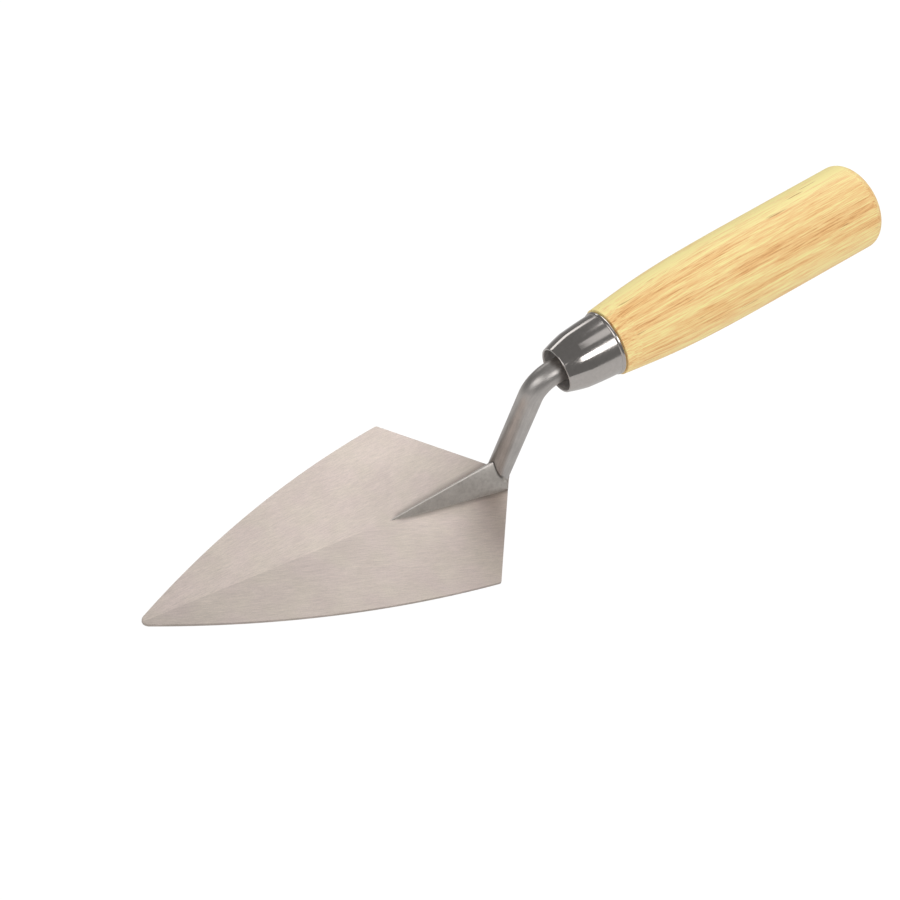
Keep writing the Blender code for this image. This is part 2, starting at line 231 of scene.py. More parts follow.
def turned(profile, closed):
    """Spins (radius, height) points about Z. An open profile starts and ends on the axis."""
    bm = bmesh.new()
    verts = [bm.verts.new((radius, 0.0, height)) for radius, height in profile]
    edges = [bm.edges.new(pair) for pair in zip(verts, verts[1:])]
    if closed:
        edges.append(bm.edges.new((verts[-1], verts[0])))
    bmesh.ops.spin(
        bm, geom=verts + edges, axis=(0, 0, 1), cent=(0, 0, 0), angle=math.tau, steps=LATHE_SIDES
    )
    bmesh.ops.remove_doubles(bm, verts=bm.verts, dist=1e-7)
    return bm


def apply_boolean(obj, tool, operation):
    """Cuts or trims a piece with a throwaway tool, and keeps only the result."""
    modifier = obj.modifiers.new(operation, "BOOLEAN")
    modifier.operation = operation
    modifier.solver = "EXACT"
    modifier.object = tool
    evaluated = obj.evaluated_get(bpy.context.evaluated_depsgraph_get())
    mesh = bpy.data.meshes.new_from_object(evaluated)
    obj.modifiers.clear()
    obj.data = mesh
    bpy.data.objects.remove(tool)


# --- Node-tree helpers ------------------------------------------------------------------------------


class Tree:
    """Short calls for building a material's nodes."""

    def __init__(self, name):
        self.material = bpy.data.materials.new(name)
        self.material.use_nodes = True
        self.nodes = self.material.node_tree.nodes
        self.links = self.material.node_tree.links
        self.shader = self.nodes["Principled BSDF"]

    def set(self, socket, value):
        if isinstance(value, bpy.types.NodeSocket):
            self.links.new(value, socket)
        else:
            socket.default_value = value

    def add(self, kind, **inputs):
        node = self.nodes.new(kind)
        for name, value in inputs.items():
            self.set(node.inputs[name.replace("_", " ")], value)
        return node

    def shade(self, **inputs):
        for name, value in inputs.items():
            self.set(self.shader.inputs[name.replace("_", " ")], value)

    def place(self):
        return self.add("ShaderNodeTexCoord").outputs["Object"]

    def along(self, direction):
        """Distance along a direction in the object's own space."""
        node = self.nodes.new("ShaderNodeVectorMath")
        node.operation = "DOT_PRODUCT"
        self.set(node.inputs[0], self.place())
        node.inputs[1].default_value = direction
        return node.outputs["Value"]

    def math(self, operation, a, b=0.0, c=0.0):
        node = self.nodes.new("ShaderNodeMath")
        node.operation = operation
        for socket, value in zip(node.inputs, (a, b, c)):
            self.set(socket, value)
        return node.outputs[0]

    def combine(self, x, y, z):
        return self.add("ShaderNodeCombineXYZ", X=x, Y=y, Z=z).outputs[0]

    def noise(self, vector, scale, detail=3.0, roughness=0.55):
        node = self.add(
            "ShaderNodeTexNoise", Vector=vector, Scale=scale, Detail=detail, Roughness=roughness
        )
        return node.outputs["Fac"]

    def remap(self, value, low, high, to_low=0.0, to_high=1.0):
        node = self.nodes.new("ShaderNodeMapRange")
        for socket, given in zip(node.inputs, (value, low, high, to_low, to_high)):
            self.set(socket, given)
        return node.outputs[0]

    def ramp(self, value, stops):
        node = self.nodes.new("ShaderNodeValToRGB")
        self.set(node.inputs[0], value)
        elements = node.color_ramp.elements
        while len(elements) < len(stops):
            elements.new(0.5)
        for element, (position, colour) in zip(elements, stops):
            element.position = position
            element.color = (*colour, 1.0)
        return node.outputs["Color"]

    def profile(self, value, stops):
        """Piecewise-linear curve through (input, output) stops."""
        low, high = stops[0][0], stops[-1][0]
        top = max(output for _, output in stops)
        share = self.remap(value, low, high)
        colour = self.ramp(share, [((x - low) / (high - low), grey(v / top)) for x, v in stops])
        return self.math("MULTIPLY", colour, top)

    def product(self, *factors):
        result = factors[0]
        for factor in factors[1:]:
            result = self.math("MULTIPLY", result, factor)
        return result

    def mix(self, factor, a, b, blend="MIX"):
        node = self.nodes.new("ShaderNodeMix")
        node.data_type = "RGBA"
        node.blend_type = blend
        self.set(node.inputs[0], factor)
        for socket, value in zip((node.inputs[6], node.inputs[7]), (a, b)):
            self.set(socket, (*value, 1.0) if isinstance(value, tuple) else value)
        return node.outputs[2]

    def attribute(self, name):
        node = self.nodes.new("ShaderNodeAttribute")
        node.attribute_name = name
        return node.outputs["Fac"]

    def bump(self, height, distance, strength=1.0, normal=None):
        node = self.add("ShaderNodeBump", Height=height, Distance=distance, Strength=strength)
        if normal is not None:
            self.links.new(normal, node.inputs["Normal"])
        return node.outputs["Normal"]


def grey(value):
    return (value, value, value)


# --- Materials --------------------------------------------------------------------------------------


def brushed(tree, angle, fine, long):
    """Fine streaks that run at an angle to +X in plan: noise squeezed across them."""
    along = tree.along((math.cos(angle), math.sin(angle), 0.0))
    across = tree.along((-math.sin(angle), math.cos(angle), 0.0))
    vector = tree.combine(tree.math("MULTIPLY", along, long), across, 0.0)
    return tree.noise(vector, fine, 4.0, 0.65)


def ground_steel():
    """The blade: satin steel, ground along its edge on the near half and along the ridge on the far one.

    Painted shade darkens a band along the lift, and the far half beside it more towards the heel; each half
    also carries a painted tone of its own.
    """
    tree = Tree("ground steel")
    x = tree.math("SUBTRACT", tree.along((1.0, 0.0, 0.0)), BLADE_HI.x)
    y = tree.along((0.0, 1.0, 0.0))
    far = tree.math("GREATER_THAN", y, 0.0)
    out = tree.math("ABSOLUTE", y)
    near_fine = brushed(tree, math.radians(-19.0), 3200.0, 0.09)
    far_fine = brushed(tree, math.radians(4.0), 3200.0, 0.11)
    near_broad = brushed(tree, math.radians(-19.0), 900.0, 0.13)
    far_broad = brushed(tree, math.radians(4.0), 900.0, 0.2)
    fine = tree.mix(far, near_fine, far_fine)
    broad = tree.mix(far, near_broad, far_broad)
    cloud = tree.noise(tree.place(), 70.0, 3.0, 0.55)
    grit = tree.noise(tree.place(), 2800.0, 3.0, 0.6)
    grain = tree.product(
        tree.remap(fine, 0.3, 0.7, 0.865, 1.115),
        tree.remap(broad, 0.3, 0.7, 0.945, 1.05),
        tree.remap(cloud, 0.3, 0.7, 0.965, 1.035),
        tree.remap(grit, 0.3, 0.7, 0.94, 1.06),
    )
    behind_tip = tree.math("MAXIMUM", x, -LIFT_LENGTH)
    lift_edge = tree.math("MULTIPLY_ADD", behind_tip, LIFT_FLARE, LIFT_LENGTH * LIFT_FLARE)
    beside = tree.math("SUBTRACT", out, lift_edge)
    # Painted shade: a dark band on the blade along both sides of the lift
    lift_shade_from_nose = tree.remap(x, -LIFT_LENGTH, -LIFT_LENGTH + LIFT_SHADE_REACH, 0.0, -LIFT_SHADE_DEPTH)
    painted_lift_shade = tree.product(tree.remap(beside, 0.0, LIFT_SHADE_REACH, 1.0, 0.0), lift_shade_from_nose)
    # Painted shade: the far half darkened beside the lift, more towards the heel
    far_shade_by_heel = tree.remap(x, FAR_SHADE_START, 0.0, 0.0, -FAR_SHADE_DEPTH)
    painted_far_shade = tree.product(tree.remap(beside, 0.0, FAR_SHADE_REACH, 1.0, 0.0), far_shade_by_heel, far)
    # Painted shading: the near half darker and the far half lighter, for how each half reflects the light
    half = tree.mix(far, (HALF_PAINTED_SHADING[0],) * 3, (HALF_PAINTED_SHADING[1],) * 3)
    tone = tree.product(grain, half, tree.math("ADD", painted_lift_shade, 1.0), tree.math("ADD", painted_far_shade, 1.0))
    tint = tree.noise(tree.place(), 110.0, 2.0, 0.5)
    steel = tree.mix(tree.remap(tint, 0.35, 0.65), (0.7, 0.608, 0.564), (0.7, 0.623, 0.557))
    tree.shade(Base_Color=tree.mix(1.0, steel, tone, "MULTIPLY"), Metallic=1.0)
    tree.shade(Roughness=tree.remap(fine, 0.2, 0.8, 0.46, 0.56))
    tree.shade(Normal=tree.bump(fine, 0.006 * MM, 0.6))
    return tree.material


def forged_steel():
    """The lift's sides: matt and mottled, with a ground ridge whose colour is raised as a painted highlight,
    and painted shade in the seam in front of the rod.
    """
    tree = Tree("forged steel")
    mottle = tree.noise(tree.place(), 1000.0, 4.0, 0.6)
    patches = tree.noise(tree.place(), 260.0, 3.0, 0.55)
    mixed = tree.math("MULTIPLY_ADD", mottle, 0.6, tree.math("MULTIPLY", patches, 0.4))
    tones = [(0.3, (0.53, 0.493, 0.455)), (0.5, (0.645, 0.605, 0.563)), (0.7, (0.73, 0.69, 0.645))]
    side = tree.ramp(mixed, tones)
    crest = tree.attribute("crest")
    painted_shade = tree.attribute("painted_shade")
    # The crest is ground bare steel; its colour is raised above the steel's as a painted highlight
    colour = tree.mix(crest, side, (0.96, 0.9, 0.85))
    # Painted shade in the seam in front of the rod
    colour = tree.mix(tree.math("MULTIPLY", painted_shade, 0.75), colour, (0.09, 0.085, 0.08))
    tree.shade(Base_Color=colour, Metallic=0.9)
    tree.shade(Roughness=tree.remap(crest, 0.0, 1.0, 0.6, 0.4))
    tree.shade(Normal=tree.bump(mottle, 0.03 * MM, 0.5))
    return tree.material


def weld_metal():
    tree = Tree("weld metal")
    mottle = tree.noise(tree.place(), 1800.0, 4.0, 0.6)
    colour = tree.ramp(mottle, [(0.3, (0.46, 0.43, 0.395)), (0.7, (0.68, 0.64, 0.59))])
    tree.shade(Base_Color=colour, Metallic=0.9)
    tree.shade(Roughness=tree.remap(mottle, 0.2, 0.8, 0.5, 0.65))
    tree.shade(Normal=tree.bump(mottle, 0.05 * MM, 0.6))
    return tree.material


def rod_steel():
    """The shank: satin drawn rod with fine lengthwise drawing marks and faint stains."""
    tree = Tree("rod steel")
    round_place = tree.attribute("round")
    run_place = tree.attribute("run")
    vector = tree.combine(tree.math("MULTIPLY", run_place, 0.06), round_place, 0.0)
    streaks = tree.noise(vector, 1700.0, 4.0, 0.6)
    grain = tree.noise(tree.place(), 2400.0, 3.0, 0.6)
    stains = tree.noise(tree.place(), 160.0, 3.0, 0.5)
    tone = tree.remap(streaks, 0.3, 0.7, 0.9, 1.09)
    tone = tree.math("MULTIPLY", tone, tree.remap(grain, 0.3, 0.7, 0.95, 1.05))
    tone = tree.math("MULTIPLY", tone, tree.remap(stains, 0.3, 0.7, 0.88, 1.07))
    painted_shade = tree.attribute("painted_shade")
    colour = tree.mix(1.0, (0.635, 0.6, 0.572), tone, "MULTIPLY")
    # Painted shade on the rod where it enters the lift
    colour = tree.mix(tree.math("MULTIPLY", painted_shade, 0.6), colour, (0.12, 0.11, 0.1))
    tree.shade(Base_Color=colour, Metallic=1.0)
    tree.shade(Roughness=tree.remap(grain, 0.2, 0.8, 0.36, 0.44))
    tree.shade(Normal=tree.bump(streaks, 0.003 * MM, 0.4))
    return tree.material


def polished_steel():
    """The ferrule: pressed and polished, with faint turning lines and a duller inside, whose colour is painted
    lighter to lift the shade in the cup.
    """
    tree = Tree("polished steel")
    z = tree.along((0.0, 0.0, 1.0))
    rings = tree.noise(tree.combine(0.0, 0.0, z), 2600.0, 3.0, 0.6)
    grain = tree.noise(tree.place(), 900.0, 3.0, 0.55)
    inside = tree.attribute("inside")
    tone = tree.remap(grain, 0.3, 0.7, 0.96, 1.03)
    colour = tree.mix(1.0, (0.63, 0.59, 0.56), tone, "MULTIPLY")
    # The duller inside, its colour painted lighter than the outside to lift the shade in the cup
    colour = tree.mix(inside, colour, (0.85, 0.81, 0.78))
    tree.shade(Base_Color=colour, Metallic=tree.remap(inside, 0.0, 1.0, 1.0, 0.3))
    polish = tree.remap(grain, 0.2, 0.8, 0.09, 0.13)
    base = tree.math("ADD", polish, tree.remap(z, 6 * MM, 14 * MM, 0.0, 0.07))
    tree.shade(Roughness=tree.math("MULTIPLY_ADD", inside, 0.28, base))
    tree.shade(Normal=tree.bump(rings, 0.002 * MM, 0.35))
    return tree.material


def pale_wood(profile, end):
    """The handle: pale wood with fine straight streaks, a painted sheen that makes its upper far side paler,
    and painted shade on the tenon inside the ferrule.
    """
    tree = Tree("pale wood")
    along = tree.along((0.0, 0.0, 1.0))
    places = steps_between(GRIP_START, profile[-1][0], 14)
    widths = np.interp(places, *zip(*profile))
    swell = tree.profile(along, [(place, GRIP_RADIUS / width) for place, width in zip(places, widths)])
    side = tree.math("MULTIPLY", tree.along((0.0, 1.0, 0.0)), swell)
    up = tree.math("MULTIPLY", tree.along((1.0, 0.0, 0.0)), swell)
    towards_painted_sheen = tree.math("MULTIPLY", tree.along((-0.61, 0.79, 0.0)), swell)

    def figure(stretch, scale, detail=4.0, roughness=0.55):
        vector = tree.combine(tree.math("MULTIPLY", along, stretch), side, up)
        return tree.noise(vector, scale, detail, roughness)

    broad = figure(0.06, 200.0, 2.0)
    bands = figure(0.05, 620.0, 3.0)
    fibres = figure(0.035, 3300.0, 4.0, 0.7)
    flecks = figure(0.055, 1200.0, 2.0, 0.5)
    mixed = tree.math("MULTIPLY_ADD", bands, 0.3, tree.math("MULTIPLY", fibres, 0.52))
    mixed = tree.math("MULTIPLY_ADD", broad, 0.18, mixed)
    # Painted sheen: the wood made paler along the upper far side
    painted_sheen = tree.remap(towards_painted_sheen, 8.2 * MM, 12 * MM, 0.0, 0.085)
    mixed = tree.math("ADD", mixed, painted_sheen)
    butt = tree.remap(along, end - 4 * MM, end - 1 * MM, 0.0, 0.65)
    mixed = tree.math("MULTIPLY_ADD", tree.math("SUBTRACT", 0.5, mixed), butt, mixed)
    colour = tree.ramp(
        mixed,
        [
            (0.39, (0.68, 0.32, 0.105)),
            (0.45, (0.91, 0.545, 0.225)),
            (0.52, (0.96, 0.69, 0.31)),
            (0.585, (1.0, 0.865, 0.385)),
        ],
    )
    dark = tree.remap(flecks, 0.69, 0.75)
    colour = tree.mix(tree.math("MULTIPLY", dark, 0.8), colour, (0.45, 0.19, 0.06))
    # Painted shade: the tenon inside the ferrule near black
    colour = tree.mix(tree.attribute("painted_shade"), colour, (0.03, 0.022, 0.018))
    tree.shader.inputs["Specular IOR Level"].default_value = 0.25
    tree.shade(Base_Color=colour, Metallic=0.0)
    tree.shade(Roughness=tree.remap(fibres, 0.3, 0.7, 0.42, 0.55))
    tree.shade(Normal=tree.bump(fibres, 0.02 * MM, 0.35))
    return tree.material


# --- Blade ------------------------------------------------------------------------------------------


def blade_rim():
    """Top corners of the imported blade's outline, in order round its plan from the middle of the heel."""
    points = node_points("blade")
    top = points[points[:, 2] > BLADE_HI.z / 2]
    middle = top.mean(axis=0)
    order = np.argsort(np.arctan2(top[:, 1], top[:, 0] - middle[0]))
    rim = [Vector(point) for point in top[order]]
    start = max(range(len(rim)), key=lambda i: rim[i].x)
    return rim[start:] + rim[:start]


def build_blade(look):
    rim = blade_rim()
    nose = min(range(len(rim)), key=lambda i: rim[i].x)
    bm = bmesh.new()
    high = [bm.verts.new(point) for point in rim]
    low = [bm.verts.new((point.x, point.y, 0.0)) for point in rim]
    bm.faces.new(high[: nose + 1])
    bm.faces.new(high[nose:] + high[:1])
    bm.faces.new(reversed(low))
    for i in range(len(rim)):
        j = (i + 1) % len(rim)
        bm.faces.new((low[i], low[j], high[j], high[i]))
    ridge = {high[0], high[nose]}
    rim_edges = [e for e in bm.edges if set(e.verts) != ridge and any(len(f.verts) > 4 for f in e.link_faces)]
    bmesh.ops.bevel(
        bm,
        geom=rim_edges,
        offset=EDGE_ROUNDING,
        offset_type="OFFSET",
        segments=EDGE_SEGMENTS,
        profile=0.5,
        affect="EDGES",
        clamp_overlap=True,
    )
    blade = piece("blade_plate", bm, [look], 30.0)
    normals = blade.modifiers.new("flat faces", "WEIGHTED_NORMAL")
    normals.keep_sharp = True
    normals.weight = 100
    return blade


def ridge_top(x):
    share = (x - BLADE_LO.x) / (BLADE_HI.x - BLADE_LO.x)
    return NOSE_TOP + (BLADE_HI.z - NOSE_TOP) * share


def blade_top(x, y):
    """Height of the blade's face, which falls from the ridge to both sides and a little towards the nose."""
    return ridge_top(x) - FACE_FALL * abs(y)


# --- Lift and welds ---------------------------------------------------------------------------------


def heel_half_width(x):
    return (BLADE_HI.x - x) / HEEL_SPREAD


def lift_half_width(x):
    """Of the base, which comes to a point at the nose."""
    regular = LIFT_RIDGE_WIDTH / 2 + LIFT_FLARE * max(x - LIFT_LO.x, 0.0)
    missing = (LIFT_RIDGE_WIDTH - LIFT_FLAT_WIDTH) / 2 * TIP_NARROWING
    return regular - missing * (1 - smoothstep(-LIFT_TIP_REACH, LIFT_TIP_LENGTH, x - LIFT_LO.x))


def lift_crest(x):
    worn = smoothstep(0.0, LIFT_TIP_LENGTH, x - LIFT_LO.x) * LIFT_CREST_WEAR
    tip = 1 - smoothstep(-LIFT_TIP_REACH, LIFT_TIP_LENGTH, x - LIFT_LO.x)
    return NOSE_CREST + LIFT_SLOPE * (x - LIFT_LO.x) - TIP_DROP * LIFT_NOSE_HEIGHT * tip - worn


def forged_offset(point):
    """Relief of the forged skin at a point, in metres."""
    coarse = noise.noise(point / (1.9 * MM))
    fine = noise.noise(point / (0.7 * MM))
    return FORGED_RELIEF * (0.65 * coarse + 0.35 * fine)


def pit_offset(point):
    x, height = PIT_PLACE
    distance = math.hypot(point.x - BLADE_HI.x - x, point.z - height)
    if point.y > 0:
        return 0.0
    return -PIT_DEPTH * math.exp(-((distance / PIT_RADIUS) ** 2) * 2)


def lift_side(x, side):
    """Points up one side of the lift's section, from the base to the crest, with its swell near the rod."""
    base = lift_half_width(x)
    floor = blade_top(x, base) - LIFT_SINK
    flat = LIFT_FLAT_WIDTH / 2
    top = lift_crest(x)
    reach = LIFT_BULGE if side < 0 else LIFT_BULGE / 2
    swell = reach * smoothstep(LIFT_BULGE_START, LIFT_BULGE_FULL, x - BLADE_HI.x)
    lean = Vector((0.0, top - floor, base - flat)).normalized()
    points = []
    for t in steps_between(0.0, 1.0, LIFT_SIDE_STEPS):
        shape = math.sqrt(1 - abs(2 * t - 1) ** 6) if t < 0.5 else 1 - (2 * t - 1) ** 3
        point = Vector((x, base + (flat - base) * t, floor + (top - floor) * t)) + lean * swell * shape
        point.y *= side
        rough = forged_offset(point) * min(1.0, 3 * shape) + pit_offset(point)
        points.append(point + Vector((0.0, lean.y * side, lean.z)) * rough)
    return points


def build_lift(look, rod):
    """The lift, and a search tree of its skin from before the rod's hole is cut."""
    sections = []
    for x in steps_between(LIFT_LO.x - LIFT_TIP_REACH, BLADE_HI.x, LIFT_STATIONS):
        near = lift_side(x, -1)
        far = lift_side(x, 1)
        sections.append(near + far[::-1])
    lift = piece("lift_wedge", skin(sections), [look], 35.0)
    apply_boolean(lift, heel_block(LIFT_REAR), "INTERSECT")
    for side in (-1, 1):
        apply_boolean(lift, heel_bevel_block(side), "DIFFERENCE")
    whole = BVHTree.FromPolygons(
        [vertex.co.copy() for vertex in lift.data.vertices],
        [tuple(polygon.vertices) for polygon in lift.data.polygons],
    )
    apply_boolean(lift, rod_cutter(rod, SEAM), "DIFFERENCE")
    crest, painted_shade = [], []
    for vertex in lift.data.vertices:
        place = vertex.co
        on_top = place.z > lift_crest(place.x) - 0.05 * MM and abs(place.y) < 0.6 * MM
        crest.append(1.0 if on_top else 0.0)
        # Painted shade round the seam in front of the rod
        from_rod = rod.distance(place) - rod.radius
        fade = smoothstep(-5.4 * MM, -6.6 * MM, place.x - BLADE_HI.x)
        painted_shade.append(fade * (1 - smoothstep(0.1 * MM, 0.1 * MM + SEAM_SHADE_REACH, from_rod)))
    paint(lift, "crest", crest)
    paint(lift, "painted_shade", painted_shade)
    return lift, whole


def heel_block(rear):
    """Upright block with the plan of the heel, cut off square at a station measured from its middle."""
    front = BLADE_LO.x
    rear_x = BLADE_HI.x + rear
    plan = [(front, -heel_half_width(front)), (rear_x, -heel_half_width(rear_x))]
    plan += [(x, -y) for x, y in reversed(plan)]
    layers = [[Vector((x, y, z)) for x, y in plan] for z in (-20 * MM, 40 * MM)]
    return piece("heel_block", skin(layers), [])


def heel_bevel_block(side):
    """Space above one heel edge: its inner face starts low over the edge and leans in over the lift."""
    reach = 60 * MM
    foot = Vector((BLADE_HI.x, 0.0, BLADE_HI.z + HEEL_FILLET_FOOT))
    edge = Vector((-HEEL_SPREAD, side, 0.0)).normalized()
    outward = Vector((1.0, side * HEEL_SPREAD, 0.0)).normalized()
    up = (Vector((0.0, 0.0, 1.0)) - outward * HEEL_FILLET_LEAN).normalized()
    away = (outward + Vector((0.0, 0.0, HEEL_FILLET_LEAN))).normalized()
    layers = []
    for along in (-reach, reach):
        start = foot + edge * along
        layers.append([start, start + up * reach, start + (up + away) * reach, start + away * reach])
    return piece("heel_bevel_block", skin(layers), [])


def rod_cutter(rod, gap):
    """The rod's riser, wider by a gap that closes towards its rear."""
    ends = []
    for height in (-10 * MM, 30 * MM):
        centre = rod.on_riser(height)
        ring = []
        for point in rod.ring(centre, rod.riser, 1.0):
            out = (point - centre).normalized()
            opened = smoothstep(-0.1, 0.6, -out.x)
            ring.append(centre + out * (rod.radius + gap * opened))
        ends.append(ring)
    return piece("rod_cutter", skin(ends), [])


def build_lift_weld(look):
    """Thin hollow fillet along both long sides of the lift and round its nose."""
    lean = math.atan(LIFT_FLARE)
    rear_x = BLADE_HI.x - 5.6 * MM
    path = []
    for x in steps_between(rear_x, LIFT_LO.x, 90):
        path.append((Vector((x, -lift_half_width(x))), Vector((-math.sin(lean), -math.cos(lean)))))
    for angle in steps_between(-math.pi / 2 - lean, -3 * math.pi / 2 + lean, 14)[1:-1]:
        out = Vector((math.cos(angle), math.sin(angle)))
        y = math.copysign(LIFT_RIDGE_WIDTH / 2 * abs(out.y), out.y)
        path.append((Vector((LIFT_LO.x, y)), out))
    path += [(Vector((p.x, -p.y)), Vector((o.x, -o.y))) for p, o in reversed(path[:91])]
    sections = []
    for point, out in path:
        wobble = 1.0 + 0.25 * noise.noise(Vector((point.x, point.y, 0.0)) / (1.6 * MM))
        leg = WELD_LEG * wobble
        floor = blade_top(point.x, point.y) - LIFT_SINK
        inner = point - out * 2 * LIFT_SINK
        section = [Vector((inner.x, inner.y, floor))]
        for angle in steps_between(0.0, math.pi / 2, 5):
            run = leg * (1 - math.sin(angle))
            rise = leg * (1 - math.cos(angle))
            place = point + out * run
            section.append(Vector((place.x, place.y, floor + LIFT_SINK + rise)))
        section.append(Vector((inner.x, inner.y, floor + LIFT_SINK + leg)))
        sections.append(section)
    return piece("lift_weld_bead", skin(sections), [look], 50.0)


def build_shank_weld(look, rod):
    """Weld that fills the point of the heel behind the rod, dressed flush with both heel edges."""
    sections = []
    for x in steps_between(BLADE_HI.x + LIFT_REAR, BLADE_HI.x - 0.12 * MM, 24):
        half = heel_half_width(x)
        floor = blade_top(x, half) - LIFT_SINK
        top = float(np.interp(x - BLADE_HI.x, (LIFT_REAR, 0.0), FILL_TOPS))
        section = []
        for angle in steps_between(-math.pi / 2, math.pi / 2, 16):
            y = half * math.sin(angle)
            ripple = 0.04 * MM * noise.noise(Vector((x, y, 0)) / (0.6 * MM))
            section.append(Vector((x, y, top - 0.15 * MM + 0.15 * MM * math.cos(angle) + ripple)))
        section += [Vector((x, half, floor)), Vector((x, -half, floor))]
        sections.append(section)
    weld = piece("shank_weld_fill", skin(sections), [look], 50.0)
    apply_boolean(weld, rod_cutter(rod, 0.0), "DIFFERENCE")
    return weld


# --- Shank ------------------------------------------------------------------------------------------


class Rod:
    """The shank's centre line: the straight riser, the bend and the straight tang."""

    def __init__(self, knee, riser, axis, radius, mouth, tip, tip_radius):
        self.knee, self.riser, self.axis, self.radius = knee, riser, axis, radius
        self.mouth, self.tip, self.tip_radius = mouth, tip, tip_radius
        self.turn = riser.angle(axis)
        tangent = BEND_RADIUS * math.tan(self.turn / 2)
        self.bend_start = knee - riser * tangent
        self.bend_centre = self.bend_start + Vector((riser.z, 0.0, -riser.x)) * BEND_RADIUS

    def distance(self, point):
        """From a point near the riser to the rod's centre line."""
        return (point - self.knee).cross(self.riser).length

    def on_riser(self, height):
        return self.knee + self.riser * ((height - self.knee.z) / self.riser.z)

    def ring(self, centre, tangent, radius):
        out = tangent.cross(Vector((0.0, 1.0, 0.0)))
        points = []
        for i in range(ROD_SIDES):
            angle = math.tau * i / ROD_SIDES
            points.append(centre + radius * (math.cos(angle) * out + math.sin(angle) * Vector((0, 1, 0))))
        return points

    def stations(self, foot):
        """(centre, tangent, radius) from the foot's height to the end of the tang."""
        start = self.on_riser(foot)
        fine_end = self.on_riser(FOOT_FINE_TO)
        found = []
        for low, high, step in ((start, fine_end, FOOT_STEP), (fine_end, self.bend_start, ROD_STEP)):
            count = round((high - low).length / step)
            found += [(low.lerp(high, i / count), self.riser, self.radius) for i in range(count)]
        for angle in steps_between(0.0, self.turn, 28):
            turned_by = Matrix.Rotation(angle, 3, "Y")
            centre = self.bend_centre + turned_by @ (self.bend_start - self.bend_centre)
            found.append((centre, turned_by @ self.riser, self.radius))
        shoulder = self.mouth + self.axis * TANG_SHOWN
        last = found[-1][0]
        for share in steps_between(0.0, 1.0, 16)[1:]:
            found.append((last.lerp(shoulder, share), self.axis, self.radius))
        found.append((self.tip, self.axis, self.tip_radius))
        return found


def build_shank(look, rod, lift_skin):
    stations = rod.stations(BLADE_HI.z / 2)
    rings = [rod.ring(centre, tangent, radius) for centre, tangent, radius in stations]
    shank = piece("shank_rod", skin(rings), [look], 50.0)
    side_width = rod.radius * math.tau / ROD_SIDES
    paint(shank, "round", [side_width * (i % ROD_SIDES) for i in range(len(rings) * ROD_SIDES)])
    runs = [0.0]
    for (a, _, _), (b, _, _) in zip(stations, stations[1:]):
        runs.append(runs[-1] + (b - a).length)
    paint(shank, "run", [runs[i // ROD_SIDES] for i in range(len(rings) * ROD_SIDES)])
    # Painted shade on the rod where it enters the lift
    painted_shade = []
    for vertex in shank.data.vertices:
        gap = lift_skin.find_nearest(vertex.co)[3]
        fade = smoothstep(-5.2 * MM, -6.4 * MM, vertex.co.x - BLADE_HI.x)
        painted_shade.append(fade * (1 - smoothstep(0.05 * MM, SEAM_SHADE_REACH, gap)))
    paint(shank, "painted_shade", painted_shade)
    return shank


def paint(obj, name, values):
    attribute = obj.data.attributes.new(name, "FLOAT", "POINT")
    attribute.data.foreach_set("value", np.array(values, dtype=np.float32))


# --- Ferrule and handle -----------------------------------------------------------------------------


def crowned(start, end, crown, count):
    """Points of a cone's side, (place, radius), swelled by a crown in its middle."""
    found = []
    for t in steps_between(0.0, 1.0, count):
        place = start[0] + (end[0] - start[0]) * t
        found.append((place, start[1] + (end[1] - start[1]) * t + crown * 4 * t * (1 - t)))
    return found


def build_ferrule(look, profile, length, matrix):
    """The pressed cup: rounded lip, steep front cone, slow rear cone, rolled bead and a plain inside."""
    mouth_radius = np.interp(0.6 * MM, *zip(*profile))
    bead_start = length - BEAD_LENGTH
    rear_radius = np.interp(bead_start, *zip(*profile))
    lip = FERRULE_LIP
    wall = FERRULE_WALL
    outline = []
    for angle in steps_between(math.pi, 0.0, 8):
        outline.append((mouth_radius - lip + lip * math.cos(angle), lip - lip * math.sin(angle)))
    front = crowned((lip, mouth_radius), FERRULE_KINK, FRONT_CROWN, 16)
    rear = crowned(FERRULE_KINK, (bead_start, rear_radius), REAR_CROWN, 22)
    outer = front[1:] + rear[1:]
    outline += [(radius, place) for place, radius in outer]
    for angle in steps_between(0.0, math.pi, 14)[1:]:
        place = bead_start + BEAD_LENGTH / 2 * (1 - math.cos(angle))
        outline.append((rear_radius + BEAD_HEIGHT * math.sin(angle) ** 1.2, place))
    outline.append((rear_radius - wall, length))
    inner = [(radius - wall, place) for place, radius in reversed(outer)]
    outline += inner
    ferrule = piece("ferrule_cup", turned(outline, True), [look], 28.0, matrix)
    crease = ferrule.data.attributes.get("sharp_edge")
    if crease is None:
        crease = ferrule.data.attributes.new("sharp_edge", "BOOLEAN", "EDGE")
    for edge in ferrule.data.edges:
        ends = [ferrule.data.vertices[i].co for i in edge.vertices]
        at_kink = all(abs(end.z - FERRULE_KINK[0]) < 1e-6 for end in ends)
        if at_kink and math.hypot(ends[0].x, ends[0].y) > FERRULE_KINK[1] - wall / 2:
            crease.data[edge.index].value = True
    inside = []
    for vertex in ferrule.data.vertices:
        radius = math.hypot(vertex.co.x, vertex.co.y)
        outside = np.interp(vertex.co.z, [p for p, _ in outer], [r for _, r in outer])
        inside.append(1.0 if radius < outside - 0.6 * wall and vertex.co.z > 0.2 * MM else 0.0)
    paint(ferrule, "inside", inside)
    return ferrule


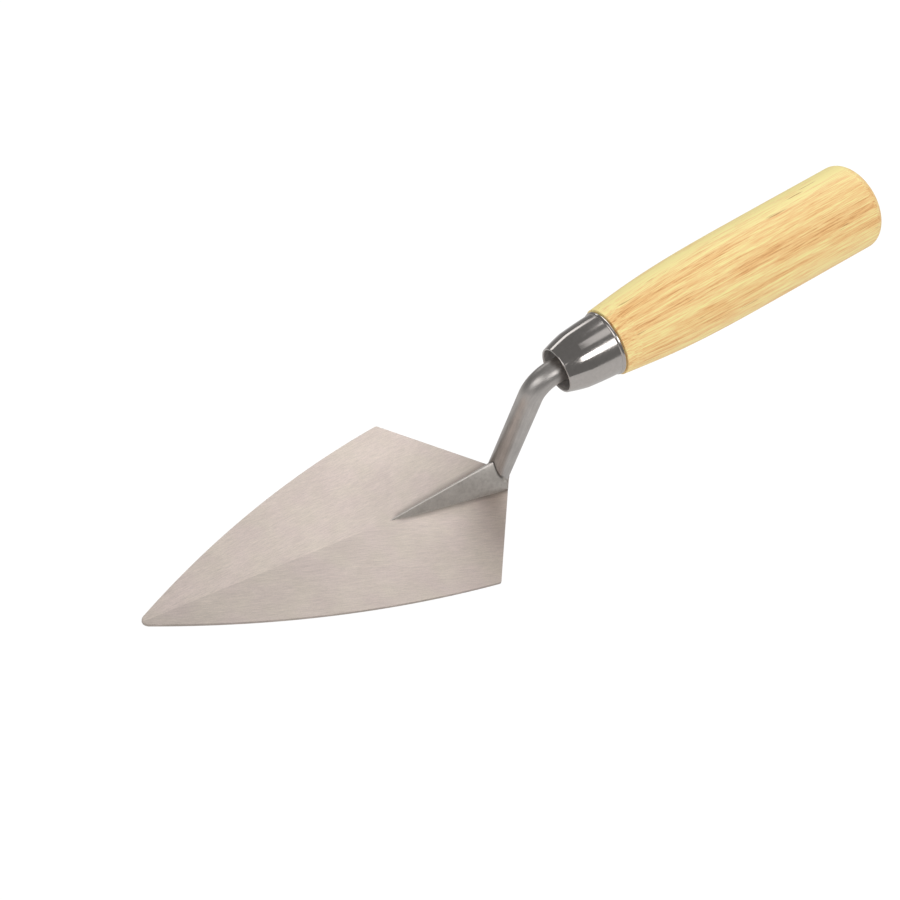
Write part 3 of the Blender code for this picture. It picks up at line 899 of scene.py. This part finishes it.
def build_handle(look, profile, end, ferrule_end, tenon_radius, matrix):
    """The turned grip, with its shoulder behind the ferrule and a smooth domed butt."""
    behind = [(place, radius) for place, radius in profile if place > ferrule_end]
    places = [place for place, _ in behind]
    radii = [radius for _, radius in behind]
    start = ferrule_end + 0.02 * MM
    shoulder_radius = radii[0]
    outline = [
        (0.0, TENON_FRONT),
        (tenon_radius - TENON_TAPER, TENON_FRONT),
        (tenon_radius, TENON_TAPER_END),
        (tenon_radius, start),
    ]
    for angle in steps_between(math.pi / 2, 0.0, 6):
        radius = shoulder_radius - SHOULDER_FILLET * (1 - math.cos(angle))
        outline.append((radius, start + SHOULDER_FILLET * (1 - math.sin(angle))))
    butt_start = end - BUTT_LENGTH
    for place in steps_between(start + 0.5 * MM, butt_start, GRIP_STATIONS):
        outline.append((float(np.interp(place, places, radii)), place))
    butt_radius = outline[-1][0]
    for angle in steps_between(0.0, math.pi / 2, 30)[1:]:
        radius = BUTT_FLAT_RADIUS + (butt_radius - BUTT_FLAT_RADIUS) * math.cos(angle)
        outline.append((radius, butt_start + BUTT_LENGTH * math.sin(angle)))
    outline.append((0.0, end))
    grip = piece("handle_grip", turned(outline, False), [look], 40.0, matrix)
    # Painted shade on the tenon hidden inside the ferrule
    paint(grip, "painted_shade", [1.0 if v.co.z < ferrule_end - 2 * MM else 0.0 for v in grip.data.vertices])
    return grip


# --- Stage ------------------------------------------------------------------------------------------


def towards(azimuth, elevation):
    """Unit vector at an azimuth from +X towards +Y and an elevation, in degrees."""
    a, e = math.radians(azimuth), math.radians(elevation)
    return Vector((math.cos(a) * math.cos(e), math.sin(a) * math.cos(e), math.sin(e)))


def add_softbox(name, azimuth, elevation, width, height, brightness):
    """Rectangular lamp one metre off, facing the trowel. Its brightness is what a mirror would show of it."""
    lamp = bpy.data.lights.new(name, "AREA")
    lamp.shape = "RECTANGLE"
    lamp.size = width
    lamp.size_y = height
    lamp.energy = math.pi * width * height * brightness
    obj = bpy.data.objects.new(name, lamp)
    way = towards(azimuth, elevation)
    obj.location = STAGE_AIM + way * LAMP_DISTANCE
    obj.rotation_euler = way.to_track_quat("Z", "Y").to_euler()
    obj.visible_camera = False
    bpy.context.scene.collection.objects.link(obj)
    return obj


def add_world(ambient):
    world = bpy.data.worlds.new("studio")
    bpy.context.scene.world = world
    world.use_nodes = True
    nodes, links = world.node_tree.nodes, world.node_tree.links
    nodes.clear()
    output = nodes.new("ShaderNodeOutputWorld")
    mix = nodes.new("ShaderNodeMixShader")
    path = nodes.new("ShaderNodeLightPath")
    room = nodes.new("ShaderNodeBackground")
    room.name = "room"
    level = nodes.new("ShaderNodeMapRange")
    level.inputs["To Min"].default_value = ambient
    level.inputs["To Max"].default_value = ambient * ROOM_SHEEN
    links.new(path.outputs["Is Glossy Ray"], level.inputs["Value"])
    links.new(level.outputs[0], room.inputs["Strength"])
    backdrop = nodes.new("ShaderNodeBackground")
    links.new(path.outputs["Is Camera Ray"], mix.inputs[0])
    links.new(room.outputs[0], mix.inputs[1])
    links.new(backdrop.outputs[0], mix.inputs[2])
    links.new(mix.outputs[0], output.inputs[0])
    for shader in (room, backdrop):
        shader.inputs["Color"].default_value = (1, 1, 1, 1)


def add_floor(bounce):
    """Pale floor, just under the blade: white to the camera, and darker on its far side in reflections."""
    bm = bmesh.new()
    bmesh.ops.create_grid(bm, x_segments=8, y_segments=8, size=2.0)
    floor = piece("floor", bm, [], matrix=Matrix.Translation((0.0, 0.0, -0.3 * MM)))
    tree = Tree("pale floor")
    path = tree.add("ShaderNodeLightPath")
    far_side = tree.remap(tree.along((0.0, 1.0, 0.0)), FLOOR_FADE[0], FLOOR_FADE[1], bounce, bounce * 0.25)
    lit = tree.math("MULTIPLY_ADD", path.outputs["Is Diffuse Ray"], DIFFUSE_BOUNCE, far_side)
    glow = tree.mix(path.outputs["Is Camera Ray"], lit, FLOOR_GLOW)
    tree.shade(Base_Color=(0.1, 0.1, 0.1, 1.0), Roughness=1.0, Emission_Color=(1.0, 1.0, 1.0, 1.0))
    tree.shade(Emission_Strength=glow)
    tree.shader.inputs["Specular IOR Level"].default_value = 0.0
    floor.data.materials.append(tree.material)


def add_camera():
    swing = Matrix.Rotation(CAMERA_AZIMUTH, 3, "Z")
    back = swing @ Matrix.Rotation(-CAMERA_ELEVATION, 3, "Y") @ Vector((1, 0, 0))
    camera = bpy.data.objects.new("camera", bpy.data.cameras.new("camera"))
    camera.data.lens = CAMERA_LENS
    camera.data.sensor_width = 36.0
    camera.data.clip_start = 0.01
    camera.location = STAGE_AIM + back * CAMERA_DISTANCE
    look_at = back.to_track_quat("Z", "Y")
    camera.rotation_mode = "QUATERNION"
    camera.rotation_quaternion = look_at @ Matrix.Rotation(CAMERA_ROLL, 3, "Z").to_quaternion()
    bpy.context.scene.collection.objects.link(camera)
    bpy.context.scene.camera = camera


# --- Everything -------------------------------------------------------------------------------------

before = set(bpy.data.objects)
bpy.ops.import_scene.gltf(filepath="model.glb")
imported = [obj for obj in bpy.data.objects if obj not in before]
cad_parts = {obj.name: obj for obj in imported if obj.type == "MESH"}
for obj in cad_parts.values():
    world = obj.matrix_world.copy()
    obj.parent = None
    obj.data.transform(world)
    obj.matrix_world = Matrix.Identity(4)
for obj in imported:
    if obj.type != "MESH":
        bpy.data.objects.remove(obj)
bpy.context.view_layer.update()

BLADE_LO, BLADE_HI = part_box("blade")
LIFT_LO, LIFT_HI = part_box("lift")
corner = max(blade_rim(), key=lambda p: p.y)
nose_point = min(blade_rim(), key=lambda p: p.x)
HEEL_SPREAD = (BLADE_HI.x - corner.x) / corner.y
NOSE_TOP = nose_point.z
FACE_FALL = (ridge_top(corner.x) - corner.z) / corner.y
LIFT_LENGTH = BLADE_HI.x - LIFT_LO.x
NOSE_CREST = blade_top(LIFT_LO.x, 0.0) + LIFT_NOSE_HEIGHT
lift_top = max(node_points("lift"), key=lambda p: p[2])
LIFT_SLOPE = (lift_top[2] - NOSE_CREST) / (lift_top[0] - LIFT_LO.x)
flare_x = BLADE_HI.x - LIFT_HI.y * HEEL_SPREAD
LIFT_FLARE = (LIFT_HI.y - LIFT_RIDGE_WIDTH / 2) / (flare_x - LIFT_LO.x)

handle_centre, AXIS = principal_axis(node_points("handle"))
shank_points = node_points("shank")
rod_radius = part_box("shank")[1].y
foot, bend_start = side_line(shank_points)[:2]
RISER = (bend_start - foot).normalized()
knee = crossing(foot, RISER, handle_centre, AXIS)
ferrule_places = (node_points("ferrule") - np.array(knee)) @ np.array(AXIS)
mouth = knee + AXIS * float(ferrule_places.min())
tang_places = (shank_points - np.array(mouth)) @ np.array(AXIS)
tang_tip = mouth + AXIS * float(tang_places.max())
rod = Rod(knee, RISER, AXIS, rod_radius, mouth, tang_tip, TANG_TIP_RADIUS)

on_axis = Matrix.Translation(mouth) @ Vector((0, 0, 1)).rotation_difference(AXIS).to_matrix().to_4x4()
ferrule_profile, ferrule_length = outer_profile("ferrule", mouth, AXIS)
handle_profile, handle_end = outer_profile("handle", mouth, AXIS)

STAGE_AIM = Vector((BLADE_HI.x - 11.0 * MM, 16.3 * MM, 0.0))

add_world(ROOM_LIGHT)
add_floor(FLOOR_BOUNCE)
for box in SOFTBOXES:
    add_softbox(*box)
add_camera()

plate = build_blade(ground_steel())
wedge, lift_skin = build_lift(forged_steel(), rod)
weld = weld_metal()
bead = build_lift_weld(weld)
fill = build_shank_weld(weld, rod)
shank = build_shank(rod_steel(), rod, lift_skin)
cup = build_ferrule(polished_steel(), ferrule_profile, ferrule_length, on_axis)
grip = build_handle(
    pale_wood(handle_profile, handle_end),
    handle_profile,
    handle_end,
    ferrule_length,
    TENON_RADIUS,
    on_axis,
)

for made, node, slot in (
    (plate, "blade", "ground_steel"),
    (wedge, "lift", "forged_steel"),
    (bead, "lift_weld", "weld_metal"),
    (fill, "shank_weld", "weld_metal"),
    (shank, "shank", "rod_steel"),
    (cup, "ferrule", "polished_steel"),
    (grip, "handle", "pale_wood"),
):
    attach(made, "root")
    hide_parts(node)

bpy.context.scene.view_settings.view_transform = "Standard"
